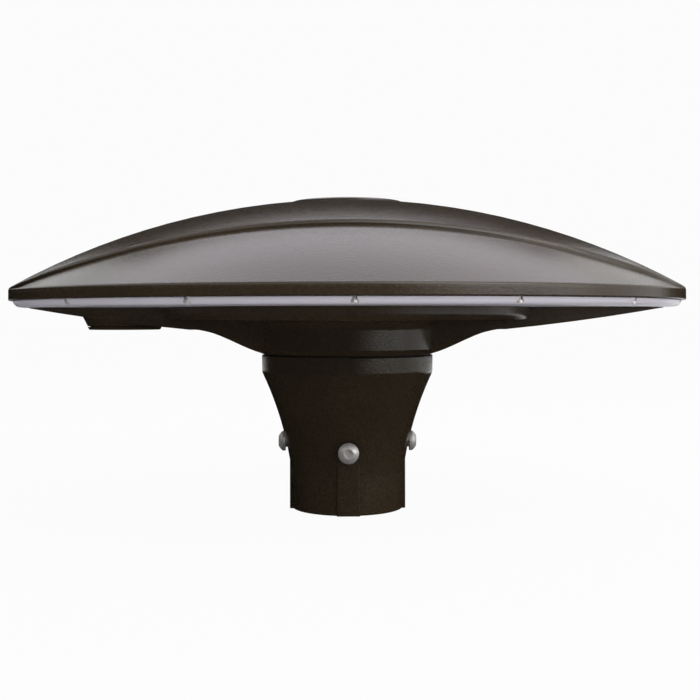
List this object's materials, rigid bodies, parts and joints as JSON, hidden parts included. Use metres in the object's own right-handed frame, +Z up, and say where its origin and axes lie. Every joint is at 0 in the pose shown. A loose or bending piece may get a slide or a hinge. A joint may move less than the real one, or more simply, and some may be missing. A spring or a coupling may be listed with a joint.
{
  "type": "garden post top light",
  "caption": "Round LED post top light: shallow domed dish with a pale lens strip under its rim, on a flared slip-fitter neck clamped to a post by set screws.",
  "frame": {"origin": "centre of the slip fitter's mouth, at the lowest face of the part", "axes": "+Z up along the post, -Y to the front, -X to the arm that carries the sensor port"},
  "size_m": [0.52, 0.52, 0.2455],
  "materials": {
    "bronze_coat": "die cast, textured bronze powder coat",
    "lens_polycarbonate": "satin",
    "stainless": "turned",
    "zinc_steel": "zinc plated",
    "bare_aluminium": "mill",
    "driver_shell": "satin",
    "seal_rubber": "matte",
    "black_plastic": "matte",
    "white_plastic": "matte",
    "white_solder_mask": "gloss",
    "led_phosphor": "gloss"
  },
  "bodies": {
    "housing": {"neck": "bronze_coat", "neck_gasket": "seal_rubber", "neck_bolts": "zinc_steel", "hub_grommet": "seal_rubber", "base_casting": "bronze_coat", "sensor_port_gasket": "seal_rubber", "sensor_port_cover": "bronze_coat", "sensor_cover_screws": "stainless", "base_gasket": "seal_rubber", "base_screws": "stainless", "driver_bracket": "bare_aluminium", "bracket_screws": "zinc_steel", "driver_case": "driver_shell", "driver_screws": "zinc_steel", "surge_protector": "black_plastic", "terminal_block": "white_plastic", "device_screws": "zinc_steel", "lens_ring": "lens_polycarbonate", "outer_lens_gasket": "seal_rubber", "inner_lens_gasket": "seal_rubber", "lens_screws": "stainless", "led_plate": "bare_aluminium", "led_plate_screws": "zinc_steel", "led_board_front": "white_solder_mask", "led_board_rear": "white_solder_mask", "led_emitters_front": "led_phosphor", "led_emitters_rear": "led_phosphor", "led_board_screws": "zinc_steel", "dome": "bronze_coat", "crown_cap": "bronze_coat", "crown_gasket": "seal_rubber", "crown_cap_screws": "zinc_steel"},
    "set_screw_front": {"set_screw_front": "stainless"},
    "set_screw_rear": {"set_screw_rear": "stainless"},
    "set_screw_left": {"set_screw_left": "stainless"},
    "set_screw_right": {"set_screw_right": "stainless"}
  },
  "joints": [
    {"name": "set_screw_front_slide", "type": "slide", "parent": "housing", "child": "set_screw_front", "axis": [0, 1, 0], "range_m": [-0.006, 0.0015]},
    {"name": "set_screw_rear_slide", "type": "slide", "parent": "housing", "child": "set_screw_rear", "axis": [0, -1, 0], "range_m": [-0.006, 0.0015]},
    {"name": "set_screw_left_slide", "type": "slide", "parent": "housing", "child": "set_screw_left", "axis": [1, 0, 0], "range_m": [-0.006, 0.0015]},
    {"name": "set_screw_right_slide", "type": "slide", "parent": "housing", "child": "set_screw_right", "axis": [-1, 0, 0], "range_m": [-0.006, 0.0015]}
  ]
}
